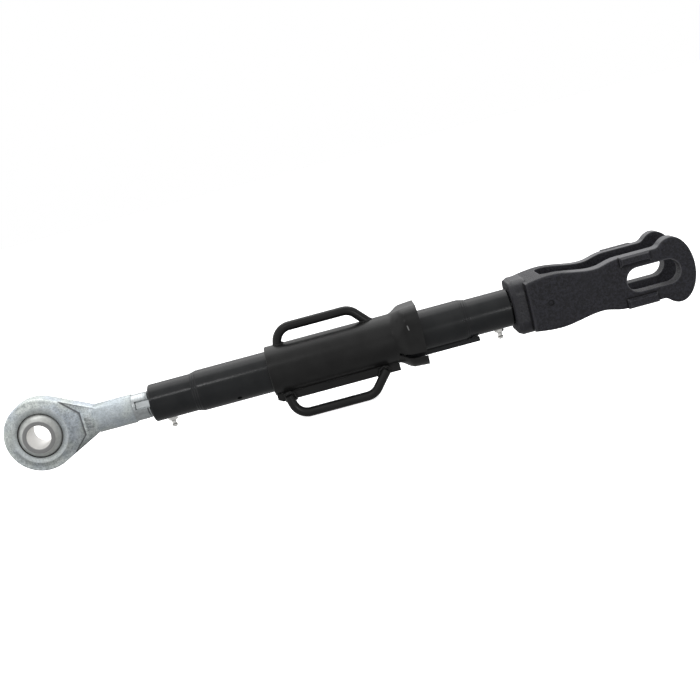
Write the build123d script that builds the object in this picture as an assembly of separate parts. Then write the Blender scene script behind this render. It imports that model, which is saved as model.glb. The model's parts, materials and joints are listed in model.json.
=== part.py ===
from build123d import *
import math
import os

# Tractor top link: a turnbuckle with a ball eye, a forged fork and a sliding lock sleeve.
# X runs along the link from the eye to the fork, Y along the pins, Z up. The origin is the ball's centre.

# Clearances
RUNNING_FIT = 0.05        # radial, spindles in the tube and pins in their holes
SLIDE_FIT = 0.5           # radial, lock sleeve on the painted tube
SEAT_GAP = 0.05           # between welded pieces
KEY_SIDE_GAP = 0.6        # key bar to the walls of the channel, each side
LOCK_GAP = 0.5            # collar to the inside of the bell mouth
CLOSED_GAP = 1.0          # tube end to fork collar with the link screwed home
PAST = 1.0                # cutters run this far past the faces they cut
ROUND_FLAT = 0.1          # flat left on each side of a square that stands for a circle in a loft

# Eye and rod
EYE_D = 79.0              # round of the forged eye
EYE_WEB = 24.0            # forged web thickness
BOSS_D = 61.0             # machined ring round the ball
BOSS_T = 25.0             # thickness across both rings
BOSS_CHAMFER = 0.4
RACE_RELIEF = 1.2         # counterbore at the mouth of the ball's race, wide and deep
WEB_EDGE_R = 2.5
BALL_D = 52.5             # sphere of the swivel ball
BALL_W = 40.0             # width across the ball's flat faces
PIN_BORE_D = 25.7         # category 2 pin hole
BORE_CHAMFER = 1.0
NECK_WEB = 18.8           # thickness of the lower flat between the eye and the shank
NECK_STEP_X = 46.5        # ball centre to the point of the step between the eye's face and that flat
NECK_STEP_HALF = 12.4     # half height of the step's straight part
NECK_STEP_BACK = 18.0     # the step falls back this far towards the eye, at 45 degrees, above and below it
NECK_STEP_SLOPE = 12.0    # degrees, draft of the step's wall
NECK_X = 54.0             # ball centre to the start of the shank's bevelled end
NECK_BEVEL_L = 8.0
SHANK_STEP = 1.0          # shank's surface above the thread's crest
SHANK_L = 49.5
THREAD_D = 29.5           # crest of the M30 spindles
ROD_EXPOSED = 19.4        # threaded length that shows with the link screwed home
SPINDLE_GAP = 31.6        # between the spindles' ends with the link screwed home
GROOVE_W = 8.0            # grease groove milled along the spindles
GROOVE_DEPTH = 2.5
GROOVE_START = 3.0        # groove's start past the shank
GROOVE_ANGLE = 19.0       # degrees above the horizontal, on the front
SHOULDER_L = 1.0          # bevel from the shank to the thread
SPINDLE_CHAMFER = 2.0
NECK_RIB_COUNT = 4        # short forged ribs across the neck of the eye
NECK_RIB_GAP = 3.4        # step to the ribs
NECK_RIB_W = 2.0
NECK_RIB_PITCH = 3.9
NECK_RIB_H = 0.9
NECK_RIB_DROP = 2.0       # middle of the ribs below the axis

# Tube
TUBE_L = 399.6
TUBE_WALL = 6.7
BORE_RELIEF = 1.0         # plain bore between the tapped ends, wider than the thread's crest
SWAGE_STEP = 1.9          # tube's surface above the swaged ends
SWAGE_L = 46.4
SWAGE_TAPER_L = 7.6
MOUTH_ROUND = 1.2
SIGHT_HOLE_D = 5.0
SIGHT_HOLE_X = 94.0       # from the tube's left end
SIGHT_HOLE_ANGLE = 46.0   # degrees below the horizontal, on the front
WIPER_WALL = 2.6          # radial thickness of the thread wipers
WIPER_T = 4.5
WIPER_RECESS = 0.5        # wiper face below the tube's end face

# Key bar under the tube
KEY_W = 16.0
KEY_H = 3.35              # tube's surface to the bar's lower face
KEY_L = 152.5
KEY_END = 40.0            # bar's right end to the tube's right end

# Grease nipples
NIPPLE_FROM_END = 17.0    # nipple to the tube's end
NIPPLE_HEX = 9.0          # across flats
NIPPLE_HEX_H = 3.4
NIPPLE_THREAD_D = 7.9
NIPPLE_SINK = 0.8         # spot face below the swaged end's surface
NIPPLE_END_GAP = 0.5      # nipple's inner end to the tapped bore
NIPPLE_NECK_D = 4.9
NIPPLE_HEAD_D = 6.4
NIPPLE_H = 11.2           # spot face to the tip
NIPPLE_SHOULDER = 1.0     # bevel from the hexagon to the neck
NIPPLE_HEAD_L = 3.6       # neck to the tip
NIPPLE_HEAD_BEVEL = 1.0
NIPPLE_TIP_BEVEL = 1.2
NIPPLE_TIP_STEP = 1.3
NIPPLE_MOUTH_L = 0.8      # tip to the check ball
SPOT_FACE_GAP = 0.5       # spot face past the hexagon's corners
SPOT_FACE_L = 5.0
CHECK_BALL_D = 3.0
CHECK_TRAVEL = 0.6        # lift of the check ball when grease is pumped in
NIPPLE_BORE_D = 3.5
NIPPLE_MOUTH_D = 2.0
BALL_SEAT = 0.4           # seat's cone starts this far below the ball's centre
SPRING_WALL = 0.35
SPRING_FIT = 0.1          # radial, spring in the nipple's bore

# Lock sleeve, its channel and its bell mouth
LOCK_STROKE = 115.0       # parked sleeve to locked sleeve
LOCK_SHORT = 0.7          # bell's rim to the fork's body when locked
SLEEVE_WALL = 4.25
SLEEVE_L = 137.1
SLEEVE_ROUND = 0.8
CHANNEL_INSET = 1.0       # channel's left end from the sleeve's
CHANNEL_W = 24.4
CHANNEL_H = 6.2           # sleeve's surface to the channel's lower face
CHANNEL_FLOOR_T = 1.8
CHANNEL_CUT_L = 5.0       # cut corner at the channel's left end
CHANNEL_CUT_H = 3.0
BELL_WALL = 1.5
BELL_FLARE_L = 16.0
FLARE_STEPS = 3           # sections of the flare
BELL_STRAIGHT_L = 15.0
BELL_SPREAD = 1.0         # widening from the flare to the rim
BELL_SLIT_START = 2.0     # start of the slits between bell and lip, past the sleeve
BELL_SLIT_TOP = 27.0      # degrees below the horizontal, upper edge of the slits
BELL_SLIT_BOTTOM = 34.0   # degrees below the horizontal, lower edge
LIP_STEP = 1.2            # lip's surface outside the bell's
LIP_BRIDGE_L = 8.0        # length of the lip's end that closes the keyway

# Handles
HANDLE_BAR_D = 10.0
HANDLE_BEND_R = 17.0
HANDLE_SINK = 5.0         # upper bar's ends below the sleeve's surface, before they are fitted to it
UPPER_REACH = 16.0        # sleeve's surface to the middle of the grip
UPPER_FOOT_X = 14.0       # left foot from the sleeve's left end
UPPER_SPAN = 104.5        # foot to foot
LOWER_REACH = 17.0        # channel's lower face to the middle of the grip
LOWER_FOOT_X = 13.5
LOWER_SPAN = 108.5
LOWER_FOOT_RISE = 5.6     # top of the lower handle's feet above the channel's lower face
STEEP_LEG = 5.0           # sideways run of the left leg
SLANT_LEG = 19.0          # sideways run of the right leg

# Fork
COLLAR_STEP = 7.15        # flat of the rounded square collar above the tube's surface
COLLAR_CORNER_R = 15.0
COLLAR_L = 15.0
COLLAR_CHAMFER_L = 4.5
COLLAR_CHAMFER_H = 2.4
FORK_L = 194.5            # collar's left face to the tip of the ears
FORK_W = 75.0             # across the ears
FORK_GAP = 43.0           # between the ears
GAP_ROOT = 35.5           # collar's left face to the bottom of the gap
GAP_ROOT_R = 9.0
BODY_HALF_H = 26.4        # half heights of the waved ear outline, from the collar to the tip
HUMP_HALF_H = 28.9
WAIST_HALF_H = 23.6
PAD_HALF_H = 27.5
BODY_SLOPE = 0.15         # rise of the outline where it leaves the collar
HUMP_X = 48.0             # from the collar's left face
WAIST_X = 21.5            # waist to the start of the pads
PAD_X = 78.5              # start of the pads above and below the slot, from the tip
PAD_L = 33.0
PAD_T = 4.5               # height of a pad above the ear's face
PAD_CHAMFER = 2.2
PAD_SINK = 4.0            # depth of a pad below the ear's face
PAD_RISE = 0.4            # pad past the ear's edge
PAD_GAP = 4.5             # pad to the slot
TIP_HALF_H = 35.3         # half height of the mushroom-shaped tip
TIP_LENGTH = 22.0         # tip's widest place to its end
TIP_FILLET = 9.0
SLOT_L = 58.0
SLOT_W = 26.0
SLOT_WALL = 16.5          # material past the slot's end
EAR_EDGE_R = 2.4
CROSS_PIN_D = 8.0
CROSS_PIN_X = 25.5        # from the collar's left face
DIMPLE_D = 6.5            # punch mark on the outer face of each ear
DIMPLE_DEPTH = 1.2
DIMPLE_X = 37.5           # from the collar's left face
SPINDLE_SETBACK = 0.5     # spindle's end short of the gap's bottom
GROOVE_SETBACK = 2.0      # groove's end before the collar

# Sizes that follow from the thread, the walls and the fits
THREAD_BORE_R = THREAD_D / 2 + RUNNING_FIT
SHANK_D = THREAD_D + 2 * SHANK_STEP
TUBE_BORE_D = THREAD_D + 2 * BORE_RELIEF
TUBE_D = TUBE_BORE_D + 2 * TUBE_WALL
SWAGE_D = TUBE_D - 2 * SWAGE_STEP
ROD_INSIDE = (TUBE_L - SPINDLE_GAP) / 2
KEY_BOTTOM = TUBE_D / 2 + KEY_H
KEYWAY_W = KEY_W + 2 * KEY_SIDE_GAP
NIPPLE_SEAT = SWAGE_D / 2 - NIPPLE_SINK
NIPPLE_THREAD_L = NIPPLE_SEAT - THREAD_BORE_R - NIPPLE_END_GAP
SLEEVE_BORE_R = TUBE_D / 2 + SLIDE_FIT
SLEEVE_D = 2 * (SLEEVE_BORE_R + SLEEVE_WALL)
CHANNEL_BOTTOM = SLEEVE_D / 2 + CHANNEL_H
UPPER_HANDLE_Z = SLEEVE_D / 2 + UPPER_REACH
LOWER_HANDLE_Z = CHANNEL_BOTTOM + LOWER_REACH
LOWER_FOOT_Z = CHANNEL_BOTTOM - LOWER_FOOT_RISE
BAR_R = HANDLE_BAR_D / 2
COLLAR_HALF = TUBE_D / 2 + COLLAR_STEP
BELL_INSIDE = COLLAR_HALF + LOCK_GAP
BELL_OUTSIDE = BELL_INSIDE + BELL_WALL

# Places along the link
SHANK_END = NECK_X + SHANK_L
TUBE_LEFT = SHANK_END + ROD_EXPOSED
TUBE_RIGHT = TUBE_LEFT + TUBE_L
FORK_LEFT = TUBE_RIGHT + CLOSED_GAP
BODY_LEFT = FORK_LEFT + COLLAR_L
FORK_TIP = FORK_LEFT + FORK_L
PAD_START = FORK_TIP - PAD_X
BELL_END = BODY_LEFT - LOCK_SHORT - LOCK_STROKE
SLEEVE_RIGHT = BELL_END - BELL_STRAIGHT_L - BELL_FLARE_L
SLEEVE_LEFT = SLEEVE_RIGHT - SLEEVE_L
SLOT_CENTRE = FORK_TIP - SLOT_WALL - SLOT_L / 2
TIP_CENTRE = FORK_TIP - TIP_LENGTH


def turned(points):
    """Solid of revolution about the link's axis, from (x, radius) points."""
    outline = make_face(Polyline(*points, close=True))
    return revolve(Plane.XZ * outline, Axis.X, 360)


def rod(radius, start, end):
    """Round bar along the link's axis."""
    return turned([(start, 0), (end, 0), (end, radius), (start, radius)])


def across(radius, x, z, length):
    """Round bar along Y, centred on the link's middle plane."""
    return Pos(x, 0, z) * Rot(90, 0, 0) * Cylinder(radius, length)


def block(x0, x1, y0, y1, z0, z1):
    """Box given by its limits."""
    centre = Pos((x0 + x1) / 2, (y0 + y1) / 2, (z0 + z1) / 2)
    return centre * Box(x1 - x0, y1 - y0, z1 - z0)


def rounded_square(half, corner_r, x):
    """Rounded square face across the link's axis."""
    return Plane.YZ.offset(x) * RectangleRounded(2 * half, 2 * half, corner_r)


def bell_shape(half, corner_r, start_r):
    """Solid that swells from the sleeve's round to a rounded square, then widens to the rim."""
    sections = []
    for step in range(FLARE_STEPS + 1):
        share = step / FLARE_STEPS
        ease = share * share * (3 - 2 * share)
        section_half = start_r + ease * (half - start_r)
        section_corner = start_r - ROUND_FLAT + ease * (corner_r - start_r + ROUND_FLAT)
        sections.append(rounded_square(section_half, section_corner, SLEEVE_RIGHT + share * BELL_FLARE_L))
    rim = rounded_square(half + BELL_SPREAD, corner_r + BELL_SPREAD, BELL_END)
    return loft(sections) + loft([sections[-1], rim])


def bell_shell(step):
    """Flared shell over the fork's collar, step wider than the bell mouth."""
    half = BELL_INSIDE + step
    corner_r = COLLAR_CORNER_R + step
    sleeve_r = SLEEVE_D / 2
    outside = bell_shape(half + BELL_WALL, corner_r + BELL_WALL, sleeve_r)
    return outside - bell_shape(half, corner_r, sleeve_r - BELL_WALL)


def sector_below(angle, start, end):
    """Wedge under two planes that fall from the axis to both sides, at an angle below the horizontal."""
    reach = 2 * BELL_INSIDE
    side = reach * math.cos(math.radians(angle))
    edge = -reach * math.sin(math.radians(angle))
    corners = [(0, 0), (-side, edge), (-side, -reach), (side, -reach), (side, edge)]
    wedge = make_face(Polyline(*corners, close=True))
    return extrude(Plane.YZ.offset(start) * wedge, end - start, dir=(1, 0, 0))


def grease_groove(start, end):
    """Cutter for the groove milled along the front of a spindle."""
    reach = THREAD_D / 2
    cutter = block(start, end, -reach - PAST, -reach + GROOVE_DEPTH, -GROOVE_W / 2, GROOVE_W / 2)
    return Rot(-GROOVE_ANGLE, 0, 0) * cutter


# Rod end: eye, neck, shank and right-hand spindle in one forging
def make_rod_end():
    shank_r = SHANK_D / 2
    thread_r = THREAD_D / 2
    web_end = Pos(NECK_X, 0) * Circle(shank_r)
    outline = make_hull(Circle(EYE_D / 2).edges() + web_end.edges())
    web = extrude(Plane.XZ * outline, EYE_WEB / 2, both=True)
    for face_y in (-EYE_WEB / 2, EYE_WEB / 2):
        web = fillet(web.edges().filter_by_position(Axis.Y, face_y, face_y), WEB_EDGE_R)
    boss = across(BOSS_D / 2, 0, 0, BOSS_T)
    boss = chamfer(boss.edges().filter_by(GeomType.CIRCLE), BOSS_CHAMFER)
    step_top = NECK_STEP_HALF + NECK_STEP_BACK
    neck_flat = make_face(Polyline(
        (NECK_STEP_X, -NECK_STEP_HALF),
        (NECK_STEP_X, NECK_STEP_HALF),
        (NECK_STEP_X - NECK_STEP_BACK, step_top),
        (SHANK_END, step_top),
        (SHANK_END, -step_top),
        (NECK_STEP_X - NECK_STEP_BACK, -step_top),
        close=True,
    ))
    for side in (-1, 1):
        floor = Plane((0, side * NECK_WEB / 2, 0), x_dir=(1, 0, 0), z_dir=(0, side, 0))
        web = web - extrude(floor * neck_flat, EYE_WEB - NECK_WEB, taper=-NECK_STEP_SLOPE)
    spindle_end = TUBE_LEFT + ROD_INSIDE
    shank = turned([
        (NECK_X, 0),
        (NECK_X, NECK_WEB / 2 - NECK_RIB_H),
        (NECK_X + NECK_BEVEL_L, shank_r),
        (SHANK_END - SHOULDER_L, shank_r),
        (SHANK_END, thread_r),
        (spindle_end - SPINDLE_CHAMFER, thread_r),
        (spindle_end, thread_r - SPINDLE_CHAMFER),
        (spindle_end, 0),
    ])
    rib_start = NECK_STEP_X + NECK_RIB_GAP
    rib_end = NECK_X + NECK_BEVEL_L
    rib_y = NECK_WEB / 2 + NECK_RIB_H
    ribs = []
    for index in range(NECK_RIB_COUNT):
        rib_z = (index - (NECK_RIB_COUNT - 1) / 2) * NECK_RIB_PITCH - NECK_RIB_DROP
        rib_low = rib_z - NECK_RIB_W / 2
        rib_high = rib_z + NECK_RIB_W / 2
        ribs.append(block(rib_start, rib_end, -rib_y, rib_y, rib_low, rib_high))
    body = web + boss + shank + ribs
    race_r = BALL_D / 2 + RUNNING_FIT
    mouth_r = math.sqrt(race_r**2 - (BOSS_T / 2) ** 2)
    relief = Rot(90, 0, 0) * Cylinder(mouth_r + RACE_RELIEF, 2 * RACE_RELIEF)
    for side in (-1, 1):
        body = body - Pos(0, side * BOSS_T / 2, 0) * relief
    return body - Sphere(race_r) - grease_groove(SHANK_END + GROOVE_START, spindle_end + PAST)


def make_swivel_ball():
    ball = Sphere(BALL_D / 2) & Box(BALL_D, BALL_W, BALL_D)
    ball = ball - across(PIN_BORE_D / 2, 0, 0, BALL_W + 2 * PAST)
    rims = ball.edges().filter_by(GeomType.CIRCLE).filter_by(
        lambda edge: abs(edge.radius - PIN_BORE_D / 2) < 0.1
    )
    return chamfer(rims, BORE_CHAMFER)


# Turnbuckle tube with its swaged and tapped ends
def make_tube():
    swage_r = SWAGE_D / 2
    tube_r = TUBE_D / 2
    left_taper = TUBE_LEFT + SWAGE_L
    right_taper = TUBE_RIGHT - SWAGE_L
    outside = turned([
        (TUBE_LEFT, 0),
        (TUBE_LEFT, swage_r - MOUTH_ROUND),
        (TUBE_LEFT + MOUTH_ROUND, swage_r),
        (left_taper, swage_r),
        (left_taper + SWAGE_TAPER_L, tube_r),
        (right_taper - SWAGE_TAPER_L, tube_r),
        (right_taper, swage_r),
        (TUBE_RIGHT - MOUTH_ROUND, swage_r),
        (TUBE_RIGHT, swage_r - MOUTH_ROUND),
        (TUBE_RIGHT, 0),
    ])
    bore_r = TUBE_BORE_D / 2
    wiper_seat_r = THREAD_BORE_R + WIPER_WALL + RUNNING_FIT
    wiper_depth = WIPER_RECESS + WIPER_T + RUNNING_FIT
    inside = turned([
        (TUBE_LEFT - PAST, 0),
        (TUBE_LEFT - PAST, wiper_seat_r),
        (TUBE_LEFT + wiper_depth, wiper_seat_r),
        (TUBE_LEFT + wiper_depth, THREAD_BORE_R),
        (left_taper, THREAD_BORE_R),
        (left_taper + SWAGE_TAPER_L, bore_r),
        (right_taper - SWAGE_TAPER_L, bore_r),
        (right_taper, THREAD_BORE_R),
        (TUBE_RIGHT - wiper_depth, THREAD_BORE_R),
        (TUBE_RIGHT - wiper_depth, wiper_seat_r),
        (TUBE_RIGHT + PAST, wiper_seat_r),
        (TUBE_RIGHT + PAST, 0),
    ])
    sight_drill = Cylinder(SIGHT_HOLE_D / 2, tube_r + PAST, align=(Align.CENTER, Align.CENTER, Align.MIN))
    sight_hole = Pos(TUBE_LEFT + SIGHT_HOLE_X, 0, 0) * Rot(90 + SIGHT_HOLE_ANGLE, 0, 0) * sight_drill
    tube = outside - inside - sight_hole
    hex_corner_r = NIPPLE_HEX / 2 / math.cos(math.pi / 6)
    below = (Align.CENTER, Align.CENTER, Align.MAX)
    for nipple_x in nipple_places():
        tube = tube - Pos(nipple_x, 0, 0) * Cylinder(NIPPLE_THREAD_D / 2 + RUNNING_FIT, tube_r, align=below)
        spot_face = Cylinder(hex_corner_r + SPOT_FACE_GAP, SPOT_FACE_L, align=below)
        tube = tube - Pos(nipple_x, 0, -NIPPLE_SEAT) * spot_face
    return tube


def nipple_places():
    """Positions of the two grease nipples along the link."""
    return [TUBE_LEFT + NIPPLE_FROM_END, TUBE_RIGHT - NIPPLE_FROM_END]


def make_wiper(outer_face, inward):
    """Rubber ring in a tube mouth. inward is +1 at the left end and -1 at the right."""
    first = outer_face + inward * WIPER_RECESS
    last = first + inward * WIPER_T
    bore_r = THREAD_BORE_R + RUNNING_FIT
    return turned([
        (first, bore_r),
        (last, bore_r),
        (last, THREAD_BORE_R + WIPER_WALL),
        (first, THREAD_BORE_R + WIPER_WALL),
    ])


def make_key_bar():
    right = TUBE_RIGHT - KEY_END
    bar = block(right - KEY_L, right, -KEY_W / 2, KEY_W / 2, -KEY_BOTTOM, 0)
    return bar - rod(TUBE_D / 2 + SEAT_GAP, right - KEY_L - PAST, right + PAST)


# Grease nipple: hexagon body, check ball and spring, pointing down
def nipple_heights():
    """Heights of the nipple's tip, ball centre and inner end, from the tube's axis."""
    tip = -NIPPLE_SEAT - NIPPLE_H
    ball = tip + CHECK_BALL_D / 2 + NIPPLE_MOUTH_L
    inner = -NIPPLE_SEAT + NIPPLE_THREAD_L
    return tip, ball, inner


def make_nipple_body(x):
    tip, ball, inner = nipple_heights()
    seat = -NIPPLE_SEAT
    hex_low = seat - NIPPLE_HEX_H
    head_r = NIPPLE_HEAD_D / 2
    neck_r = NIPPLE_NECK_D / 2
    profile = make_face(Polyline(
        (0, inner),
        (NIPPLE_THREAD_D / 2, inner),
        (NIPPLE_THREAD_D / 2, seat),
        (NIPPLE_HEX / 2, seat),
        (NIPPLE_HEX / 2, hex_low),
        (neck_r, hex_low - NIPPLE_SHOULDER),
        (neck_r, tip + NIPPLE_HEAD_L),
        (head_r, tip + NIPPLE_HEAD_L - NIPPLE_HEAD_BEVEL),
        (head_r, tip + NIPPLE_TIP_BEVEL),
        (head_r - NIPPLE_TIP_STEP, tip),
        (0, tip),
        close=True,
    ))
    turned_body = revolve(Plane.XZ * profile, Axis.Z, 360)
    hexagon = Pos(0, 0, hex_low) * RegularPolygon(NIPPLE_HEX / 2, 6, major_radius=False)
    bore_bottom = ball - CHECK_BALL_D / 2
    bore = make_face(Polyline(
        (0, inner + PAST),
        (NIPPLE_BORE_D / 2, inner + PAST),
        (NIPPLE_BORE_D / 2, ball - BALL_SEAT),
        (NIPPLE_MOUTH_D / 2, bore_bottom),
        (NIPPLE_MOUTH_D / 2, tip - PAST),
        (0, tip - PAST),
        close=True,
    ))
    nipple = turned_body + extrude(hexagon, NIPPLE_HEX_H) - revolve(Plane.XZ * bore, Axis.Z, 360)
    return Pos(x, 0, 0) * nipple


def make_nipple_ball(x):
    tip, ball, inner = nipple_heights()
    return Pos(x, 0, ball) * Sphere(CHECK_BALL_D / 2)


def make_nipple_spring(x):
    tip, ball, inner = nipple_heights()
    low = ball + CHECK_BALL_D / 2 + CHECK_TRAVEL / 2
    spring_r = NIPPLE_BORE_D / 2 - SPRING_FIT
    ring = Circle(spring_r) - Circle(spring_r - SPRING_WALL)
    return Pos(x, 0, low) * extrude(ring, inner - low)


# Lock sleeve, channel, bell mouth and lip
def keyway(start, end, low, high):
    """Cutter for the way that the key bar and the nipple run through."""
    return block(start, end, -KEYWAY_W / 2, KEYWAY_W / 2, low, high)


def make_lock_sleeve():
    outer_r = SLEEVE_D / 2
    sleeve = turned([
        (SLEEVE_LEFT, SLEEVE_BORE_R),
        (SLEEVE_RIGHT, SLEEVE_BORE_R),
        (SLEEVE_RIGHT, outer_r),
        (SLEEVE_LEFT + SLEEVE_ROUND, outer_r),
        (SLEEVE_LEFT, outer_r - SLEEVE_ROUND),
    ])
    return sleeve - keyway(SLEEVE_LEFT - PAST, SLEEVE_RIGHT + PAST, -outer_r - PAST, 0)


def make_key_channel():
    left = SLEEVE_LEFT + CHANNEL_INSET
    half = CHANNEL_W / 2
    channel = block(left, SLEEVE_RIGHT, -half, half, -CHANNEL_BOTTOM, 0)
    channel = channel - rod(SLEEVE_D / 2 + SEAT_GAP, left - PAST, SLEEVE_RIGHT + PAST)
    channel = channel - keyway(left - PAST, SLEEVE_RIGHT + PAST, -CHANNEL_BOTTOM + CHANNEL_FLOOR_T, 0)
    corner = make_face(Polyline(
        (left, -CHANNEL_BOTTOM),
        (left + CHANNEL_CUT_L, -CHANNEL_BOTTOM),
        (left, -CHANNEL_BOTTOM + CHANNEL_CUT_H),
        close=True,
    ))
    return channel - extrude(Plane.XZ * corner, half + PAST, both=True)


def make_bell_mouth():
    bell = bell_shell(0) - keyway(SLEEVE_RIGHT - PAST, BELL_END + PAST, -2 * BELL_OUTSIDE, 0)
    return bell - sector_below(BELL_SLIT_TOP, SLEEVE_RIGHT + BELL_SLIT_START, BELL_END + PAST)


def make_guide_lip():
    start = SLEEVE_RIGHT + BELL_SLIT_START + SEAT_GAP
    lip = bell_shell(LIP_STEP) & sector_below(BELL_SLIT_BOTTOM, start, BELL_END + PAST)
    return lip - keyway(start - PAST, BELL_END - LIP_BRIDGE_L, -2 * BELL_OUTSIDE, 0)


# Bent bar handles
def bent_bar(points):
    """Round bar along straight runs with equal bends."""
    path = FilletPolyline(*points, radius=HANDLE_BEND_R)
    section = Plane(origin=path @ 0, z_dir=path % 0) * Circle(BAR_R)
    return sweep(section, path)


def make_handle_upper():
    left = SLEEVE_LEFT + UPPER_FOOT_X
    right = left + UPPER_SPAN
    foot_z = SLEEVE_D / 2 - HANDLE_SINK
    bar = bent_bar([
        (left, 0, foot_z),
        (left + STEEP_LEG, 0, UPPER_HANDLE_Z),
        (right - SLANT_LEG, 0, UPPER_HANDLE_Z),
        (right, 0, foot_z),
    ])
    return bar - rod(SLEEVE_D / 2 + SEAT_GAP, SLEEVE_LEFT - PAST, SLEEVE_RIGHT + PAST)


def make_handle_lower():
    left = SLEEVE_LEFT + LOWER_FOOT_X
    right = left + LOWER_SPAN
    bar_y = -CHANNEL_W / 2 - BAR_R - SEAT_GAP
    bar = bent_bar([
        (left, bar_y, -LOWER_FOOT_Z),
        (left + STEEP_LEG, bar_y, -LOWER_HANDLE_Z),
        (right - SLANT_LEG, bar_y, -LOWER_HANDLE_Z),
        (right, bar_y, -LOWER_FOOT_Z),
    ])
    return bar - rod(SLEEVE_D / 2 + SEAT_GAP, SLEEVE_LEFT - PAST, SLEEVE_RIGHT + PAST)


# Forged fork
def ear_outline():
    """Side outline of the ears: waved edges and a round, mushroom-shaped tip."""
    wave = Spline(
        (BODY_LEFT, BODY_HALF_H),
        (FORK_LEFT + HUMP_X, HUMP_HALF_H),
        (PAD_START - WAIST_X, WAIST_HALF_H),
        (PAD_START, PAD_HALF_H),
        tangents=[(1, BODY_SLOPE), (1, 0)],
    )
    sides = [
        wave,
        Line((PAD_START, PAD_HALF_H), (TIP_CENTRE, PAD_HALF_H)),
        Line((TIP_CENTRE, PAD_HALF_H), (TIP_CENTRE, -PAD_HALF_H)),
        Line((TIP_CENTRE, -PAD_HALF_H), (PAD_START, -PAD_HALF_H)),
        mirror(wave, Plane.XZ),
        Line((BODY_LEFT, -BODY_HALF_H), (BODY_LEFT, BODY_HALF_H)),
    ]
    outline = make_face(sides) + Pos(TIP_CENTRE, 0) * Ellipse(TIP_LENGTH, TIP_HALF_H)
    inner_corners = outline.vertices().filter_by(
        lambda corner: abs(abs(corner.Y) - PAD_HALF_H) < 0.01 and corner.X > PAD_START + PAST
    )
    return fillet(inner_corners, TIP_FILLET)


def make_fork():
    ears = extrude(Plane.XZ * ear_outline(), FORK_W / 2, both=True)
    outer_edges = ears.edges().filter_by(lambda edge: abs(abs(edge.center().Y) - FORK_W / 2) < 0.01)
    ears = fillet(outer_edges, EAR_EDGE_R)
    tall = TIP_HALF_H + PAST
    gap_left = FORK_LEFT + GAP_ROOT
    gap = block(gap_left, FORK_TIP + PAST, -FORK_GAP / 2, FORK_GAP / 2, -tall, tall)
    root_edges = gap.edges().filter_by(Axis.Z).group_by(Axis.X)[0]
    gap = fillet(root_edges, GAP_ROOT_R)
    slot = extrude(Pos(SLOT_CENTRE, 0, 0) * Plane.XZ * SlotOverall(SLOT_L, SLOT_W), FORK_W, both=True)
    chamfer_end = FORK_LEFT + COLLAR_CHAMFER_L
    face = rounded_square(COLLAR_HALF - COLLAR_CHAMFER_H, COLLAR_CORNER_R - COLLAR_CHAMFER_H, FORK_LEFT)
    full = rounded_square(COLLAR_HALF, COLLAR_CORNER_R, chamfer_end)
    collar = loft([face, full]) + extrude(full, BODY_LEFT - chamfer_end + EAR_EDGE_R, dir=(1, 0, 0))
    fork = ears - gap - slot + collar
    for side in (-1, 1):
        face_y = side * FORK_W / 2
        near, far = sorted((face_y - side * PAD_SINK, face_y + side * PAD_T))
        for up in (-1, 1):
            low, high = sorted((up * (SLOT_W / 2 + PAD_GAP), up * (PAD_HALF_H + PAD_RISE)))
            pad = block(PAD_START, PAD_START + PAD_L, near, far, low, high)
            rim = pad.faces().sort_by(Axis.Y)[-1 if side > 0 else 0].edges()
            fork = fork + chamfer(rim, PAD_CHAMFER)
        dimple = Rot(90, 0, 0) * Cylinder(DIMPLE_D / 2, 2 * DIMPLE_DEPTH)
        fork = fork - Pos(FORK_LEFT + DIMPLE_X, face_y, 0) * dimple
    bore = rod(THREAD_BORE_R, FORK_LEFT - PAST, gap_left)
    pin_hole = across(CROSS_PIN_D / 2, FORK_LEFT + CROSS_PIN_X, 0, FORK_W + 2 * PAST)
    return fork - bore - pin_hole


def make_clevis_spindle():
    first = TUBE_RIGHT - ROD_INSIDE
    last = FORK_LEFT + GAP_ROOT - SPINDLE_SETBACK
    thread_r = THREAD_D / 2
    spindle = turned([
        (first, 0),
        (first, thread_r - SPINDLE_CHAMFER),
        (first + SPINDLE_CHAMFER, thread_r),
        (last, thread_r),
        (last, 0),
    ])
    pin_hole = across(CROSS_PIN_D / 2, FORK_LEFT + CROSS_PIN_X, 0, THREAD_D + 2 * PAST)
    return spindle - pin_hole - grease_groove(first - PAST, FORK_LEFT - GROOVE_SETBACK)


def make_spindle_pin():
    return across(CROSS_PIN_D / 2 - RUNNING_FIT, FORK_LEFT + CROSS_PIN_X, 0, FORK_W)


left_nipple, right_nipple = nipple_places()
NODES = {
    "clevis_fork": make_fork(),
    "clevis_spindle": make_clevis_spindle(),
    "spindle_pin": make_spindle_pin(),
    "clevis_wiper": make_wiper(TUBE_RIGHT, -1),
    "rod_wiper": make_wiper(TUBE_LEFT, 1),
    "tube": make_tube(),
    "key_bar": make_key_bar(),
    "nipple_left_body": make_nipple_body(left_nipple),
    "nipple_left_ball": make_nipple_ball(left_nipple),
    "nipple_left_spring": make_nipple_spring(left_nipple),
    "nipple_right_body": make_nipple_body(right_nipple),
    "nipple_right_ball": make_nipple_ball(right_nipple),
    "nipple_right_spring": make_nipple_spring(right_nipple),
    "lock_sleeve": make_lock_sleeve(),
    "key_channel": make_key_channel(),
    "bell_mouth": make_bell_mouth(),
    "guide_lip": make_guide_lip(),
    "handle_upper": make_handle_upper(),
    "handle_lower": make_handle_lower(),
    "rod_end": make_rod_end(),
    "swivel_ball": make_swivel_ball(),
}

os.makedirs("parts", exist_ok=True)
for name, shape in NODES.items():
    export_step(shape, f"parts/{name}.step")
    print(name, round(shape.volume, 1))
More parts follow.
